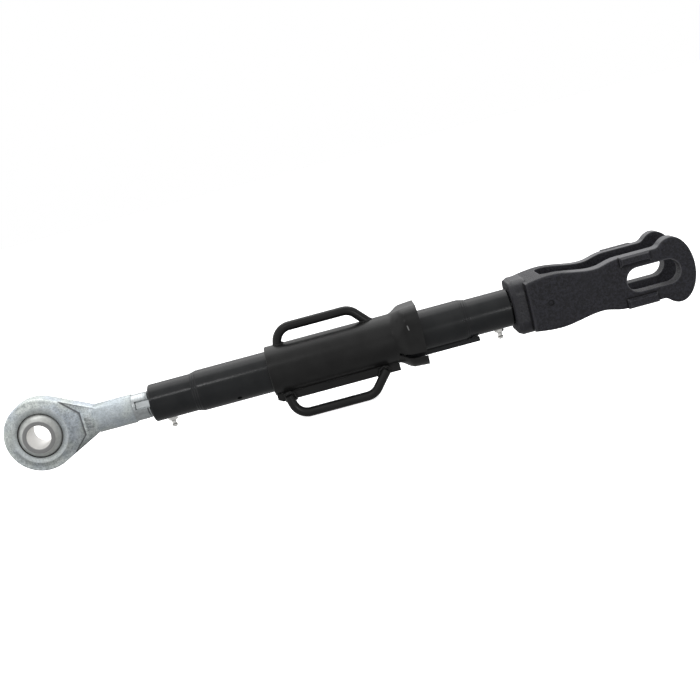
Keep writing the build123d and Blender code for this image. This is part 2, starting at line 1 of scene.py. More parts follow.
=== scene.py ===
# %% [markdown]
# # A tractor top link, dressed for its portrait
# A top link is a turnbuckle: a tube with a tapped end on each side, one spindle with a right-hand thread
# and one with a left-hand thread. The CAD frame already holds every piece at its real size and place. This
# lesson adds what CAD leaves out: cut threads, weld beads, paint, plating, light and a camera that stands
# where the photographer stood.

# %% Load the frame
import json
import math

import bmesh
import bpy
from mathutils import Matrix, Vector


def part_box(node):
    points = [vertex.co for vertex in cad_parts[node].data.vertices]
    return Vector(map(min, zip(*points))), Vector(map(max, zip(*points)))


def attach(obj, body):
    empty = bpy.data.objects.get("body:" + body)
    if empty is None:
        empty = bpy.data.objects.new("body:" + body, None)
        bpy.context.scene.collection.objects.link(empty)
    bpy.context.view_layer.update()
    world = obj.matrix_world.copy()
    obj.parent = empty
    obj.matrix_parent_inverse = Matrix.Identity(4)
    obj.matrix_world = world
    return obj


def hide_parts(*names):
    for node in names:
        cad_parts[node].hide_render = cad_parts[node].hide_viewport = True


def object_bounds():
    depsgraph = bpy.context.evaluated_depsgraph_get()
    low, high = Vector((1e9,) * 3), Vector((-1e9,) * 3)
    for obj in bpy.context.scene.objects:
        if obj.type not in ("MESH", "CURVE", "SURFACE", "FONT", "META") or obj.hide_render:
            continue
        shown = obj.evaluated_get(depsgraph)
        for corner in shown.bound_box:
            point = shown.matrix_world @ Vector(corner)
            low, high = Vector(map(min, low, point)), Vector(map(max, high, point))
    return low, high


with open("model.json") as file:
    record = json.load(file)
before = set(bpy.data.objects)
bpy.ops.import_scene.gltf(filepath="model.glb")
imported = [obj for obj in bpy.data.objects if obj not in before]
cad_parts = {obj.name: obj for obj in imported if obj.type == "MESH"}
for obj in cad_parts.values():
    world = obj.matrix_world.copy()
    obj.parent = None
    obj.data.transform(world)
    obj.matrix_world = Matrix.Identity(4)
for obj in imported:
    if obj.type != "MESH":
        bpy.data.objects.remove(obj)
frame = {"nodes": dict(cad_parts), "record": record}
cad_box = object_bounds()
NODES = frame["nodes"]
MM = 0.001


# %% [markdown]
# ## Writing node graphs as sums
# Shader and geometry graphs are both made of nodes and links. One small class wraps a socket, so that a
# formula such as `1 - mask * 0.5` adds its own Math nodes, and one method adds every other kind of node:
# settings first, then the values or links of its sockets.

# %% A formula class and a graph class
class Value:
    """A number that varies over a surface or a mesh. Operators on it add Math nodes."""

    def __init__(self, graph, socket):
        self.graph = graph
        self.socket = socket

    def __add__(self, other):
        return self.graph.maths("ADD", self, other)

    def __sub__(self, other):
        return self.graph.maths("SUBTRACT", self, other)

    def __mul__(self, other):
        return self.graph.maths("MULTIPLY", self, other)

    def __truediv__(self, other):
        return self.graph.maths("DIVIDE", self, other)

    def __radd__(self, other):
        return self.graph.maths("ADD", other, self)

    def __rsub__(self, other):
        return self.graph.maths("SUBTRACT", other, self)

    def __rmul__(self, other):
        return self.graph.maths("MULTIPLY", other, self)

    def __neg__(self):
        return self.graph.maths("MULTIPLY", self, -1.0)

    def abs(self):
        return self.graph.maths("ABSOLUTE", self)

    def min(self, other):
        return self.graph.maths("MINIMUM", self, other)

    def max(self, other):
        return self.graph.maths("MAXIMUM", self, other)

    def step(self, low, high):
        """Runs smoothly from 0 at low to 1 at high."""
        node = self.graph.add(
            "ShaderNodeMapRange",
            {"interpolation_type": "SMOOTHSTEP"},
            {"Value": self, "From Min": low, "From Max": high, "To Min": 0.0, "To Max": 1.0},
        )
        return Value(self.graph, node.outputs["Result"])


class Graph:
    """A node tree with one method that adds any node."""

    def __init__(self, tree):
        self.tree = tree

    def add(self, kind, settings=None, sockets=None):
        node = self.tree.nodes.new(kind)
        for key, value in (settings or {}).items():
            setattr(node, key, value)
        for key, value in (sockets or {}).items():
            self.feed(node.inputs[key], value)
        return node

    def feed(self, socket, value):
        """Links a value or an output into a socket, or sets a plain number on it."""
        if isinstance(value, Value):
            self.tree.links.new(value.socket, socket)
        elif isinstance(value, bpy.types.NodeSocket):
            self.tree.links.new(value, socket)
        else:
            socket.default_value = value

    def maths(self, operation, *values):
        node = self.add("ShaderNodeMath", {"operation": operation}, dict(enumerate(values)))
        return Value(self, node.outputs[0])

    def parts(self, vector):
        """The X, Y and Z of a vector socket, as values."""
        node = self.add("ShaderNodeSeparateXYZ", None, {0: vector})
        return [Value(self, output) for output in node.outputs]


print("helpers ready")


# %% [markdown]
# ## The camera
# The photograph looks along the pins from a little above, and the link climbs from lower left to upper
# right. The lens and the distance come from how much larger the near ear of the fork looks than the far
# one. The view is taken as square to the link, so the camera is placed by a pitch, a roll, a distance and
# the point of the axis in the picture's middle.

# %% Camera
CAMERA_PITCH = math.radians(11.3)
CAMERA_ROLL = math.radians(-15.08)
CAMERA_DISTANCE = 1.296
CAMERA_AIM = Vector((0.344, 0.0, 0.0))
CAMERA_REACH = 100.0
FOCAL_PIXELS = 1200.0
FRAME_PIXELS = 700.0
SENSOR_MM = 36.0

look = Vector((0.0, math.cos(CAMERA_PITCH), -math.sin(CAMERA_PITCH)))
level_right = Vector((1.0, 0.0, 0.0))
level_up = level_right.cross(look)
right = math.cos(CAMERA_ROLL) * level_right + math.sin(CAMERA_ROLL) * level_up
up = math.cos(CAMERA_ROLL) * level_up - math.sin(CAMERA_ROLL) * level_right
camera_data = bpy.data.cameras.new("photo_camera")
camera_data.sensor_width = SENSOR_MM
camera_data.sensor_fit = "HORIZONTAL"
camera_data.lens = SENSOR_MM * FOCAL_PIXELS / FRAME_PIXELS
camera_data.clip_end = CAMERA_REACH
camera = bpy.data.objects.new("photo_camera", camera_data)
turn = Matrix((right, up, -look)).transposed().to_4x4()
camera.matrix_world = Matrix.Translation(CAMERA_AIM - CAMERA_DISTANCE * look) @ turn
bpy.context.scene.collection.objects.link(camera)
bpy.context.scene.camera = camera
print("camera: lens", round(camera_data.lens, 1), "mm")


# %% [markdown]
# ## Light and floor
# The photograph is a product cut-out: white all round and lit softly. The world holds the soft light: a
# soft box overhead and a little behind, a bright wall behind and one at the left, a dimmer front and a dim
# ground. It looks plain white to the camera. Two small lamps in front draw thin streaks along the tube, one
# from high at the left and one from low at the right. The floor is a pale plane that the link lies on.

# %% World, lamps and floor
WHITE = (1.0, 1.0, 1.0, 1.0)
WORLD_BELOW = 0.48
WORLD_FRONT = 0.68
WORLD_LEFT = 1.20
WORLD_BACK = 1.05
WORLD_ABOVE = 1.10
SOFTBOX = 1.90
SOFTBOX_HEIGHT = math.radians(65)
# Each edge says where a light starts and where it is full, on a direction of length 1.
LEFT_EDGE = (0.30, 0.65)
BACK_EDGE = (0.2, 0.9)
ABOVE_EDGE = (0.30, 0.95)
SOFTBOX_EDGE = (0.80, 0.95)
BELOW_EDGE = (0.0, 0.6)

scene = bpy.context.scene
scene.view_settings.view_transform = "Standard"
world = bpy.data.worlds.new("studio")
world.use_nodes = True
world.node_tree.nodes.clear()
scene.world = world
sky = Graph(world.node_tree)
direction = sky.add("ShaderNodeTexCoord").outputs["Generated"]
across, depth, height = sky.parts(direction)
front = WORLD_FRONT + (WORLD_LEFT - WORLD_FRONT) * (-across).step(*LEFT_EDGE)
sides = front + (WORLD_BACK - front) * depth.step(*BACK_EDGE)
soft_light = sides + (WORLD_ABOVE - sides) * height.step(*ABOVE_EDGE)
in_softbox = math.cos(SOFTBOX_HEIGHT) * depth + math.sin(SOFTBOX_HEIGHT) * height
soft_light = soft_light + SOFTBOX * in_softbox.step(*SOFTBOX_EDGE)
soft_light = soft_light + (WORLD_BELOW - soft_light) * (-height).step(*BELOW_EDGE)
soft = sky.add("ShaderNodeBackground", None, {"Strength": soft_light})
plain = sky.add("ShaderNodeBackground", None, {"Color": WHITE, "Strength": 1.0})
seen = sky.add("ShaderNodeLightPath").outputs["Is Camera Ray"]
mixed = sky.add("ShaderNodeMixShader", None, {0: seen, 1: soft.outputs[0], 2: plain.outputs[0]})
sky.add("ShaderNodeOutputWorld", None, {"Surface": mixed.outputs[0]})


def lamp(name, place, aim, size, power):
    """A rectangular soft lamp that faces a point."""
    data = bpy.data.lights.new(name, "AREA")
    data.shape = "RECTANGLE"
    data.size, data.size_y = size
    data.energy = power
    item = bpy.data.objects.new(name, data)
    item.location = place
    item.rotation_euler = (Vector(aim) - Vector(place)).to_track_quat("-Z", "Y").to_euler()
    scene.collection.objects.link(item)


lamp("streak_left", place=(0.00, -1.05, 0.82), aim=(0.17, 0.0, 0.02), size=(0.14, 0.08), power=0.9)
lamp("streak_right", place=(0.82, -1.25, 0.13), aim=(0.50, 0.0, 0.00), size=(0.08, 0.16), power=1.8)

FLOOR_HALF = 6.0
FLOOR_GLOW = 0.75
floor_height = cad_box[0][2]
floor_mesh = bpy.data.meshes.new("floor")
corners = [(-1, -1), (1, -1), (1, 1), (-1, 1)]
floor_points = [(FLOOR_HALF * x, FLOOR_HALF * y, floor_height) for x, y in corners]
floor_mesh.from_pydata(floor_points, [], [(0, 1, 2, 3)])
floor = bpy.data.objects.new("floor", floor_mesh)
scene.collection.objects.link(floor)
floor.visible_diffuse = False
floor.visible_glossy = False
floor.visible_shadow = False
pale = bpy.data.materials.new("pale_floor")
pale.use_nodes = True
pale_surface = pale.node_tree.nodes["Principled BSDF"].inputs
pale_surface["Base Color"].default_value = WHITE
pale_surface["Roughness"].default_value = 1.0
pale_surface["Emission Color"].default_value = WHITE
pale_surface["Emission Strength"].default_value = FLOOR_GLOW
floor_mesh.materials.append(pale)
print("floor at", round(floor_height, 4), "m")


# %% [markdown]
# ## One class for every finish
# A finish is a graph round one surface shader. Its patterns read Object coordinates, so they stay on their
# piece at every pose. Two masks come from how open the space is round a point: in front of the face it
# finds creases, where the finishes paint shade, and behind the face it finds edges, where they paint a
# highlight together with wear.

# %% Finish class
OPEN_SAMPLES = 8
OPEN_RANGE = (0.60, 0.98)
# Where a noise from 0 to 1 turns from the first colour to the second.
WIDE = (0.30, 0.70)
MIDDLE = (0.35, 0.65)
# A colour mix has its two colours at these inputs and its result at this output.
FIRST_COLOUR, SECOND_COLOUR, MIXED_COLOUR = 6, 7, 2


class Finish(Graph):
    """A material's graph with one surface shader and the piece's own coordinates."""

    def __init__(self, name):
        self.material = bpy.data.materials.new(name)
        self.material.use_nodes = True
        super().__init__(self.material.node_tree)
        self.surface = self.tree.nodes["Principled BSDF"]
        self.place = self.add("ShaderNodeTexCoord").outputs["Object"]

    def set(self, socket, value):
        self.feed(self.surface.inputs[socket], value)

    def noise(self, scale, detail=2.0, roughness=0.5):
        sockets = {"Vector": self.place, "Scale": scale, "Detail": detail, "Roughness": roughness}
        return Value(self, self.add("ShaderNodeTexNoise", None, sockets).outputs["Fac"])

    def blend(self, factor, first, second):
        """A colour between two colours."""
        node = self.add("ShaderNodeMix", {"data_type": "RGBA"}, {"Factor": factor})
        for place, colour in ((FIRST_COLOUR, first), (SECOND_COLOUR, second)):
            self.feed(node.inputs[place], (*colour, 1.0) if isinstance(colour, tuple) else colour)
        return node.outputs[MIXED_COLOUR]

    def openness(self, reach, inside):
        """0 where solid crowds within reach metres, 1 where it is clear; inside looks behind the face."""
        settings = {"samples": OPEN_SAMPLES, "only_local": True, "inside": inside}
        node = self.add("ShaderNodeAmbientOcclusion", settings, {"Distance": reach})
        return Value(self, node.outputs["AO"]).step(*OPEN_RANGE)

    def creases(self, reach):
        """1 deep in corners and narrow gaps, 0 on faces that are open for reach metres around."""
        return 1 - self.openness(reach, inside=False)

    def edges(self, reach):
        """1 on sharp outer edges, 0 where there is reach metres of solid behind the face."""
        return 1 - self.openness(reach, inside=True)

    def relief(self, height, depth):
        """Bumps the surface: height from 0 to 1, depth in metres."""
        bump = self.add("ShaderNodeBump", None, {"Height": height, "Strength": 1.0, "Distance": depth})
        self.set("Normal", bump.outputs["Normal"])


print("finish class ready")


# %% [markdown]
# ## Black paint
# The tube and the sleeve are sprayed satin black: two close blacks in soft clouds, a roughness that varies
# with them and a fine ripple that breaks up reflections. The tube keeps the fine rings that the swaging
# tool left at both ends of its thick part, and the bell mouth has one small chip in its paint.

# %% Black paint
PAINT_SPECULAR = 0.25
PAINT_MOTTLE = 0.10
PAINT_RELIEF = 0.2 * MM
RIPPLE_SHARE = 0.2
SWAGE_RINGS = (173.1 * MM, 472.3 * MM)
RING_PITCH = 2.6 * MM
RING_REACH = 4.4 * MM
RING_SHARE = 0.8
BELL_CHIPS = [(409.0 * MM, 12.8 * MM, 3.4 * MM)]
CHIP_LEAN = 0.15
CHIP_WIDTH = (0.3 * MM, 0.9 * MM)
CHIP_GREY = (0.22, 0.22, 0.22)


def black_paint(name, dark, light, gloss, ripple_scale, cloud_scale, rings=(), chips=()):
    """Sprayed black paint, with tool rings at some X and chips given as X, Z and half length."""
    finish = Finish(name)
    along, side, tall = finish.parts(finish.place)
    cloud = finish.noise(cloud_scale, 4.0)
    colour = finish.blend(cloud.step(*MIDDLE), dark, light)
    for x, z, half in chips:
        thin = 1 - (along - x + CHIP_LEAN * (tall - z)).abs().step(*CHIP_WIDTH)
        short = 1 - (tall - z).abs().step(0.5 * half, half)
        colour = finish.blend(thin * short * (-side).step(0.0, MM), colour, CHIP_GREY)
    finish.set("Base Color", colour)
    finish.set("Roughness", gloss + PAINT_MOTTLE * (cloud - 0.5))
    finish.set("Specular IOR Level", PAINT_SPECULAR)
    height = RIPPLE_SHARE * finish.noise(ripple_scale, 3.0)
    for centre in rings:
        band = 1 - (along - centre).abs().step(0.7 * RING_REACH, RING_REACH)
        wave = finish.maths("SINE", (along - centre) * (2 * math.pi / RING_PITCH))
        height = height + RING_SHARE * band * wave
    finish.relief(height, PAINT_RELIEF)
    return finish.material


tube_black = black_paint(
    "tube_black", dark=(0.013, 0.014, 0.015), light=(0.017, 0.018, 0.019), gloss=0.22,
    ripple_scale=900, cloud_scale=60, rings=SWAGE_RINGS,
)
sleeve_black = black_paint(
    "sleeve_black", dark=(0.009, 0.009, 0.009), light=(0.013, 0.013, 0.013), gloss=0.32,
    ripple_scale=700, cloud_scale=45, chips=BELL_CHIPS,
)
print("paint:", tube_black.name, sleeve_black.name)


# %% [markdown]
# ## Painted forging
# The fork is a drop forging under the same paint. Scale pressed into the hot steel leaves a pebbled grain
# about a millimetre across, so its highlights spread out and the black looks greyer and slightly blue.
# The edges are painted lighter, partly as worn paint and partly as a painted highlight, the tops of the ears
# get a painted highlight, hollows get painted shade, and the collar is machined smooth. Near the cross pin
# the edges stay plain, because the pin is painted over.

# %% Forged black
FORGE_GRAIN = 520
FORGE_PEBBLE = FORGE_GRAIN / 4
FORGE_WEAR = 28
FORGE_SPECULAR = 0.36
FORGE_RELIEF = 1.2 * MM
FORGE_ROUGH = 0.44
GRAIN_TURN = (0.40, 0.62)
WEAR_TURN = (0.45, 0.75)
PIT_BLACK = (0.001, 0.001, 0.003)
SKIN_BLACK = (0.017, 0.017, 0.025)
WORN_BLACK = (0.013, 0.013, 0.019)
COLLAR_BLACK = (0.022, 0.022, 0.026)
TOP_HIGHLIGHT_GREY = (0.15, 0.15, 0.16)
FORGE_EDGE_WEAR_AND_HIGHLIGHT = (0.14, 0.14, 0.15)
HOLLOW_SHADE_BLACK = (0.001, 0.001, 0.001)
COLLAR_START = 523.5 * MM
COLLAR_END = 542.0 * MM
PLAIN_END = 575.0 * MM
PLAIN_HALF = (14 * MM, 18 * MM)
EDGE_WEAR_AND_HIGHLIGHT_REACH = 1.6 * MM
HOLLOW_REACH = 2.6 * MM
TOP_FACING = (0.55, 0.90)
TOP_HEIGHT = (5 * MM, 10 * MM)

forged = Finish("forged_black")
along, _, tall = forged.parts(forged.place)
_, _, upward = forged.parts(forged.add("ShaderNodeTexCoord").outputs["Normal"])
grain = forged.noise(FORGE_GRAIN, 3.0, 0.7)
pebble = forged.noise(FORGE_PEBBLE, 3.0)
worn = forged.noise(FORGE_WEAR, 4.0)
machined = 1 - along.step(COLLAR_END - 2 * MM, COLLAR_END)
end_face = 1 - along.step(COLLAR_START + 0.5 * MM, COLLAR_START + MM)
clear_of_pin = along.step(PLAIN_END, PLAIN_END + 5 * MM).max(tall.abs().step(*PLAIN_HALF))
edge_wear_and_highlight = forged.edges(EDGE_WEAR_AND_HIGHLIGHT_REACH) * clear_of_pin
on_ears = tall.step(*TOP_HEIGHT) * along.step(PLAIN_END, PLAIN_END + 20 * MM)
top_highlight = upward.step(*TOP_FACING) * on_ears
hollow_shade = forged.creases(HOLLOW_REACH)
paint = forged.blend(grain.step(*GRAIN_TURN), PIT_BLACK, SKIN_BLACK)
paint = forged.blend(0.5 * worn.step(*WEAR_TURN), paint, WORN_BLACK)
paint = forged.blend(0.6 * machined, paint, COLLAR_BLACK)
# Painted highlight: the tops of the ears are painted light grey.
paint = forged.blend(0.8 * top_highlight, paint, TOP_HIGHLIGHT_GREY)
# Edges painted lighter, partly as worn paint and partly as a painted highlight.
paint = forged.blend(0.55 * edge_wear_and_highlight, paint, FORGE_EDGE_WEAR_AND_HIGHLIGHT)
# Painted shade: hollows and creases are painted near black.
forged.set("Base Color", forged.blend(0.9 * hollow_shade, paint, HOLLOW_SHADE_BLACK))
rough_paint = FORGE_ROUGH + 0.25 * (grain - 0.5) + 0.10 * (pebble - 0.5)
forged.set("Roughness", rough_paint + 0.3 * hollow_shade - 0.10 * machined + 0.5 * end_face)
forged.set("Specular IOR Level", FORGE_SPECULAR)
forged.relief((0.6 * grain + 0.4 * pebble) * (1 - 0.6 * machined), FORGE_RELIEF)
forged_black = forged.material
print("paint:", forged_black.name)


# %% [markdown]
# ## Zinc plate on a forging
# The eye is forged, turned and drilled, then plated in zinc. The raw forging keeps a blotchy, bluish grain,
# while the ring round the ball is turned flat and shows fine circles. One material does both: a mask from
# the distance to the ball's axis and from the height above the web picks the turned ring. Edges are painted
# bright, partly as wear and partly as a painted highlight, creases and the foot of the pointed step at the
# neck get painted shade, the shank is duller, the race and the gap round the ball are painted black as
# painted shade, and a slight crown rounds the rim.

# %% Zinc plate
RING_R = 30.5 * MM
RING_FACE = 12.4 * MM
RACE_R = 24.5 * MM
CIRCLE_PITCH = 0.9 * MM
RIM_R = 40.0 * MM
SHANK_START = 60.0 * MM
STEP_X = 46.5 * MM
STEP_HALF = 12.4 * MM
STEP_FLOOR = 9.2 * MM
STEP_SLOPE = 0.707
STEP_WIDTH = (0.4 * MM, 0.9 * MM)
EDGE_REACH = 0.9 * MM
CREASE_SHADE_REACH = 1.4 * MM
BLOTCHES = 170
TINTS = 38
SPECKLES = 620
ZINC_RELIEF = 0.7 * MM
ZINC_ROUGH = 0.52
ZINC_METAL = 0.85
SPECKLE_TURN = (0.44, 0.64)
WARM_ZINC = ((0.60, 0.65, 0.63), (0.86, 0.90, 0.87))
COLD_ZINC = ((0.57, 0.63, 0.69), (0.82, 0.88, 0.94))
SPECKLE_GREY = (0.26, 0.29, 0.30)
TURNED_GREY = (0.60, 0.64, 0.65)
SHANK_GREY = (0.40, 0.44, 0.45)
ZINC_EDGE_WEAR_AND_HIGHLIGHT = (0.95, 0.97, 0.97)
CREASE_SHADE = (0.06, 0.06, 0.07)
RACE_SHADE_BLACK = (0.015, 0.015, 0.015)


def radius_from_y(finish, x, z):
    """The distance from the Y axis, which is the ball's axis."""
    return finish.maths("SQRT", x * x + z * z)


zinc = Finish("zinc_forging")
along, side, tall = zinc.parts(zinc.place)
from_axis = radius_from_y(zinc, along, tall)
in_ring = 1 - from_axis.step(RING_R - 0.5 * MM, RING_R)
turned = side.abs().step(RING_FACE - 0.4 * MM, RING_FACE) * in_ring
shank = along.step(SHANK_START, SHANK_START + 5 * MM)
past_step = (along - STEP_X).max(STEP_SLOPE * (along + tall.abs() - STEP_X - STEP_HALF))
on_web = side.abs().step(STEP_FLOOR - 0.2 * MM, STEP_FLOOR)
step_shade_line = (1 - (past_step - 0.1 * MM).abs().step(*STEP_WIDTH)) * on_web
race_shade = 1 - from_axis.step(RACE_R - 0.2 * MM, RACE_R)
blotch = zinc.noise(BLOTCHES, 5.0, 0.65)
tint = zinc.noise(TINTS, 2.0)
speckle = zinc.noise(SPECKLES, 3.0, 0.7)
warm = zinc.blend(blotch.step(*WIDE), *WARM_ZINC)
cold = zinc.blend(blotch.step(*WIDE), *COLD_ZINC)
plate = zinc.blend(tint.step(*MIDDLE), warm, cold)
plate = zinc.blend(0.50 * speckle.step(*SPECKLE_TURN), plate, SPECKLE_GREY)
plate = zinc.blend(0.45 * turned, plate, TURNED_GREY)
plate = zinc.blend(0.45 * shank, plate, SHANK_GREY)
# Edges painted near white, partly as wear and partly as a painted highlight.
plate = zinc.blend(0.7 * zinc.edges(EDGE_REACH), plate, ZINC_EDGE_WEAR_AND_HIGHLIGHT)
# Painted shade: creases are painted dark.
plate = zinc.blend(0.75 * zinc.creases(CREASE_SHADE_REACH), plate, CREASE_SHADE)
# Painted shade: a dark line along the foot of the pointed step at the neck.
plate = zinc.blend(0.75 * step_shade_line, plate, CREASE_SHADE)
# Painted shade: the race and the gap round the ball are painted near black, with no metal.
zinc.set("Base Color", zinc.blend(race_shade, plate, RACE_SHADE_BLACK))
zinc.set("Metallic", ZINC_METAL * (1 - race_shade))
zinc.set("Roughness", ZINC_ROUGH + 0.20 * (blotch - 0.5) - 0.06 * turned)
circles = zinc.maths("SINE", from_axis * (2 * math.pi / CIRCLE_PITCH))
crown = 0.6 * (1 - from_axis.step(RING_R, RIM_R))
raw_relief = (0.6 * speckle + 0.4 * blotch) * (1 - 0.6 * turned)
turned_relief = turned * (0.2 + 0.05 * circles)
zinc.relief(crown + raw_relief + turned_relief, ZINC_RELIEF)
zinc_forging = zinc.material
print("plate:", zinc_forging.name)


# %% [markdown]
# ## Bright steel, rubber and small plated parts
# The spindles are rolled thread with painted shade in the roots, and the grease nipples are bright zinc.
# The swivel ball is ground bearing steel with a duller flat face and a bore painted near white as painted
# light. The wipers are black rubber.

# %% Bright steel, rubber and nipples
ROOT_REACH = 1.2 * MM
ROOT_SHADE_BLACK = (0.03, 0.03, 0.03)
BALL_FACE = 19.3 * MM
BORE_R = 12.9 * MM
BALL_SPECKS = 250
BALL_METAL = 0.7
BALL_ROUGH = 0.26
BALL_BRIGHT = ((0.50, 0.51, 0.49), (0.60, 0.61, 0.59))
FACE_GREY = (0.31, 0.31, 0.31)
BORE_PAINTED_LIGHT = (0.95, 0.94, 0.92)
RUBBER_BLACK = (0.008, 0.008, 0.008, 1.0)
RUBBER_ROUGH = 0.75


def steel(name, colour, rough, speck_scale, speck, metal=1.0):
    """Bare or plated steel with a fine variation of its shine, and painted shade in its creases."""
    finish = Finish(name)
    shine = finish.noise(speck_scale, 3.0)
    darker = tuple(0.8 * channel for channel in colour)
    clean = finish.blend(shine.step(*WIDE), darker, colour)
    # Painted shade: creases and thread roots are painted near black.
    finish.set("Base Color", finish.blend(0.85 * finish.creases(ROOT_REACH), clean, ROOT_SHADE_BLACK))
    finish.set("Metallic", metal)
    finish.set("Roughness", rough + speck * (shine - 0.5))
    return finish.material


thread_steel = steel("thread_steel", (0.54, 0.57, 0.58), rough=0.34, speck_scale=300, speck=0.15)
nipple_zinc = steel("nipple_zinc", (0.92, 0.91, 0.88), rough=0.26, speck_scale=500, speck=0.10, metal=0.95)

ball = Finish("ball_steel")
along, side, tall = ball.parts(ball.place)
lit_bore = 1 - radius_from_y(ball, along, tall).step(BORE_R, BORE_R + 0.2 * MM)
flat_face = side.abs().step(BALL_FACE, BALL_FACE + 0.5 * MM)
shine = ball.noise(BALL_SPECKS, 3.0)
ground = ball.blend(flat_face, ball.blend(shine.step(*WIDE), *BALL_BRIGHT), FACE_GREY)
# Painted light: the bore's wall is painted near white, as it looks lit.
ball.set("Base Color", ball.blend(lit_bore, ground, BORE_PAINTED_LIGHT))
ball.set("Metallic", BALL_METAL)
ball.set("Roughness", BALL_ROUGH + 0.10 * shine + 0.20 * flat_face + 0.20 * lit_bore)
ball_steel = ball.material

rubber = Finish("wiper_rubber")
rubber.set("Base Color", RUBBER_BLACK)
rubber.set("Roughness", RUBBER_ROUGH)
wiper_rubber = rubber.material
print("steel:", thread_steel.name, nipple_zinc.name, ball_steel.name, wiper_rubber.name)


# %% [markdown]
# ## Shapes from rules
# A thread is one profile carried along a helix, and a weld is one bead repeated along a path. Geometry
# Nodes make both: a tree takes named sizes, and its result is baked to a plain mesh that rides on one body.

# %% A class for geometry trees
class Recipe(Graph):
    """A Geometry Nodes tree with named inputs, whose result is baked to a plain mesh."""

    def __init__(self, name, sizes):
        super().__init__(bpy.data.node_groups.new(name, "GeometryNodeTree"))
        sockets = self.tree.interface
        sockets.new_socket("Geometry", in_out="OUTPUT", socket_type="NodeSocketGeometry")
        sockets.new_socket("Geometry", in_out="INPUT", socket_type="NodeSocketGeometry")
        kinds = {label: "NodeSocketFloat" for label in sizes}
        kinds["Material"] = "NodeSocketMaterial"
        self.keys = {}
        for label, kind in kinds.items():
            self.keys[label] = sockets.new_socket(label, in_out="INPUT", socket_type=kind).identifier
        self.entry = self.add("NodeGroupInput")

    def given(self, label):
        return Value(self, self.entry.outputs[label])

    def close(self, geometry):
        """Ends the tree: real mesh, smooth shading, material."""
        real = self.add("GeometryNodeRealizeInstances", None, {0: geometry})
        smooth = self.add("GeometryNodeSetShadeSmooth", None, {0: real.outputs[0]})
        sockets = {"Geometry": smooth.outputs[0], "Material": self.entry.outputs["Material"]}
        painted = self.add("GeometryNodeSetMaterial", None, sockets)
        self.add("NodeGroupOutput", None, {0: painted.outputs[0]})

    def bake(self, name, start_mesh, sizes):
        """A new object with the tree's result for these sizes."""
        holder = bpy.data.objects.new(name + "_holder", start_mesh)
        scene.collection.objects.link(holder)
        modifier = holder.modifiers.new("recipe", "NODES")
        modifier.node_group = self.tree
        for label, value in sizes.items():
            modifier[self.keys[label]] = value
        ready = holder.evaluated_get(bpy.context.evaluated_depsgraph_get())
        plain_mesh = bpy.data.meshes.new_from_object(ready)
        plain_mesh.name = name
        bpy.data.objects.remove(holder)
        piece = bpy.data.objects.new(name, plain_mesh)
        scene.collection.objects.link(piece)
        return piece


print("recipe class ready")


# %% [markdown]
# ## Cut threads
# A grid is rolled into a tube. Its rows follow the helix, so each row keeps one place on the thread's
# profile, and the last column meets the first one pitch further on. Hand is 1 for a right-hand thread and
# -1 for a left-hand one. The first and last rows shrink to the axis and close the ends, a flat groove for
# grease runs along the front, and the profile starts shallow and reaches its full depth over the run-out.

# %% Thread recipe
ROWS_PER_PITCH = 6
COLUMNS = 97
SHALLOW = 0.12
RUN_OUT_FROM = 0.4
MERGE_DISTANCE = 0.01 * MM
LEAST_FACING = 0.2
THREAD_SIZES = [
    "Start", "Length", "Crest", "Depth", "Pitch", "Hand", "Run-out",
    "Groove Floor", "Groove Half", "Groove Angle", "Groove Start",
]

cut = Recipe("cut_thread", THREAD_SIZES)
pitch = cut.given("Pitch")
run = cut.given("Length")
run_out = cut.given("Run-out")
spare = run + 2 * pitch
rows = cut.maths("ROUND", spare / pitch * ROWS_PER_PITCH) + 1
grid = cut.add(
    "GeometryNodeMeshGrid",
    None,
    {"Size X": spare, "Size Y": 2 * math.pi, "Vertices X": rows, "Vertices Y": COLUMNS},
)
row_place, column_place, _ = cut.parts(cut.add("GeometryNodeInputPosition").outputs[0])
angle = -column_place
on_helix = row_place + run / 2 + cut.given("Hand") * pitch * angle / (2 * math.pi)
on_axis = on_helix.max(0.0).min(run)
phase = cut.maths("FRACT", (row_place + spare / 2) / pitch)
flank = (2 * phase - 1).abs()
inside = cut.maths("LESS_THAN", row_place.abs(), spare / 2 - 0.25 * pitch / ROWS_PER_PITCH)
deepening = SHALLOW + (1 - SHALLOW) * on_axis.step(RUN_OUT_FROM * run_out, run_out)
radius = cut.given("Crest") - cut.given("Depth") * deepening * flank
from_groove = angle - cut.given("Groove Angle")
facing = cut.maths("COSINE", from_groove)
sideways = (radius * cut.maths("SINE", from_groove)).abs()
in_groove = cut.maths("LESS_THAN", sideways, cut.given("Groove Half"))
in_groove = in_groove * cut.maths("GREATER_THAN", facing, 0.0)
in_groove = in_groove * cut.maths("GREATER_THAN", on_axis, cut.given("Groove Start"))
floor_radius = cut.given("Groove Floor") / facing.max(LEAST_FACING)
radius = radius + in_groove * (radius.min(floor_radius) - radius)
radius = radius * inside
rolled = cut.add(
    "ShaderNodeCombineXYZ",
    None,
    {
        0: cut.given("Start") + on_axis,
        1: radius * cut.maths("COSINE", angle),
        2: radius * cut.maths("SINE", angle),
    },
)
bent = cut.add("GeometryNodeSetPosition", None, {0: grid.outputs["Mesh"], "Position": rolled.outputs[0]})
joined = cut.add("GeometryNodeMergeByDistance", None, {0: bent.outputs[0], "Distance": MERGE_DISTANCE})
cut.close(joined.outputs[0])
print("recipe:", cut.tree.name, "with", len(cut.keys), "inputs")


# %% [markdown]
# ## The two spindles
# The rod's thread is right-hand and the fork's left-hand, which is why one turn of the tube draws both ends
# in. The rod's CAD node is eye, shank and spindle in one, so a copy of it is cut off where the thread
# starts.

